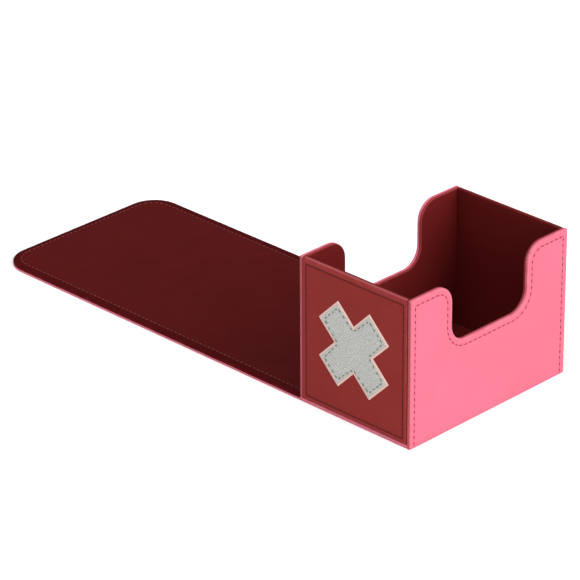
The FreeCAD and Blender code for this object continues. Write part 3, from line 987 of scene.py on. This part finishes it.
def camera():
    """A long lens that looks down at the front right corner of the tray."""
    pitch, yaw, roll = (math.radians(angle) for angle in (26.381, 44.713, -0.337))
    distance, shift_right, shift_up = 1710.1, -66.39, 44.63
    back = Vector((
        math.sin(yaw) * math.cos(pitch), -math.cos(yaw) * math.cos(pitch), math.sin(pitch),
    ))
    right = (-back).cross(Vector((0, 0, 1))).normalized()
    up = right.cross(-back)
    right, up = (
        math.cos(roll) * right + math.sin(roll) * up,
        math.cos(roll) * up - math.sin(roll) * right,
    )
    data = bpy.data.cameras.new("camera")
    data.sensor_width = 36.0
    data.lens = 228.1
    data.clip_start = 50 * MM
    data.clip_end = 20000 * MM
    made = bpy.data.objects.new("camera", data)
    made.matrix_world = Matrix((right, up, back)).transposed().to_4x4()
    made.location = metres(back * distance + right * shift_right + up * shift_up)
    bpy.context.scene.collection.objects.link(made)
    bpy.context.scene.camera = made


def sun(name, direction, strength, angle):
    """Light that comes from a direction, softer the wider its angle in degrees."""
    data = bpy.data.lights.new(name, "SUN")
    data.energy = strength
    data.angle = math.radians(angle)
    made = bpy.data.objects.new(name, data)
    made.rotation_euler = Vector(direction).to_track_quat("Z", "Y").to_euler()
    bpy.context.scene.collection.objects.link(made)


def studio():
    """A pale floor, a white surround, and two soft lights."""
    world = bpy.data.worlds.new("surround")
    world.use_nodes = True
    background = world.node_tree.nodes["Background"]
    background.inputs["Color"].default_value = (1.0, 1.0, 1.0, 1.0)
    background.inputs["Strength"].default_value = 0.45
    bpy.context.scene.world = world
    bpy.context.scene.view_settings.view_transform = "Standard"
    sun("key", direction=(1.0, 0.05, 0.42), strength=4.3, angle=50)
    sun("overhead", direction=(0.05, -0.5, 1.0), strength=1.9, angle=60)
    half, level = 3000.0, -0.05
    corners = [(-half, -half), (half, -half), (half, half), (-half, half)]
    mesh = bpy.data.meshes.new("floor")
    mesh.from_pydata([metres((x, y, level)) for x, y in corners], [], [(0, 1, 2, 3)])
    floor = bpy.data.objects.new("floor", mesh)
    bpy.context.scene.collection.objects.link(floor)
    look = Look("floor", roughness=1.0, specular=0.0)
    tone = look.noise(400.0, detail=1.0)
    look.set("Base Color", look.mix(tone, (0.9, 0.9, 0.9, 1.0), (0.91, 0.91, 0.91, 1.0)))
    mesh.materials.append(look.material)


# ---- the whole scene ----------------------------------------------------------------


def make_materials():
    """Every material of the visible pieces, by name."""
    shiny = {"roughness": 0.5, "specular": 0.25, "grain": 0.7, "depth": 0.03}
    dull = {"roughness": 0.7, "specular": 0.04, "grain": 0.6, "depth": 0.02}
    pebbled = {"roughness": 0.6, "specular": 0.1, "grain": 0.8, "depth": 0.05}
    leathers = {
        "pink": Leather(PINK, PINK_WORN, **shiny),
        # Side walls: painted shade at their ends and along their seam's groove.
        "wall": Leather(
            PINK, PINK_WORN, **shiny, seam=WALL_SEAM, seam_shade_colour=PINK_SEAM_SHADE, ends=PINK_SHADED_ENDS,
        ),
        # End walls: their pink leather is painted shade all over, with the dark rim colour inside.
        "end_wall": Leather(END_RIM, END_RIM, **shiny, ends=PINK_SHADED_ENDS, ends_reach=1.25),
        "cover": Leather(PINK, PINK_WORN, **shiny, seam=COVER_SEAM, seam_shade_colour=PINK_SEAM_SHADE),
        # The tray's linings take the lighter maroon: painted light inside the tray.
        "lining": Leather(INNER_MAROON_PAINTED_LIGHT, INNER_RIM, **dull, rim=INNER_RIM),
        "end_lining": Leather(INNER_MAROON_PAINTED_LIGHT, MAROON_WORN, **dull, rim=END_RIM),
        "cover_lining": Leather(
            MAROON, MAROON_WORN, **dull, seam=COVER_SEAM, seam_shade_colour=MAROON_SEAM_SHADE,
            rim=COVER_BORDER, rim_reach=COVER_SEAM - 0.5,
        ),
        # The panel's rim colour is a painted highlight on its border.
        "panel": Leather(
            RED, RED_WORN, **pebbled, seam=PANEL_SEAM, seam_shade_colour=RED_SEAM_SHADE,
            rim=RED_BORDER_HIGHLIGHT, rim_reach=PANEL_SEAM - 0.35,
        ),
    }
    threads = {
        "wall_thread": WALL_THREAD,
        "panel_thread": PANEL_THREAD,
        "cover_thread": COVER_THREAD,
        "patch_thread": PATCH_THREAD,
    }
    materials = {name: looks.material(name) for name, looks in leathers.items()}
    low, high = box("cross_patch")
    materials["canvas"] = canvas_look("canvas", (low + high) / 2, PATCH_ARM, PATCH_WIDTH)
    for name, colour in threads.items():
        materials[name] = thread_look(name, colour)
    return materials


def build():
    camera()
    studio()
    materials = make_materials()
    tray_base(materials)
    tray_floor(materials)
    side_wall("right", 1, materials)
    side_wall("left", -1, materials)
    end_wall("front", -1, materials)
    end_wall("rear", 1, materials)
    cross_patch(materials)
    straight_panel("cover_back", materials)
    straight_panel("cover_top", materials)
    lip(materials)
    fold("base_fold", materials)
    fold("back_fold", materials)
    fold("lip_fold", materials)
    dress_cad_nodes()


build()
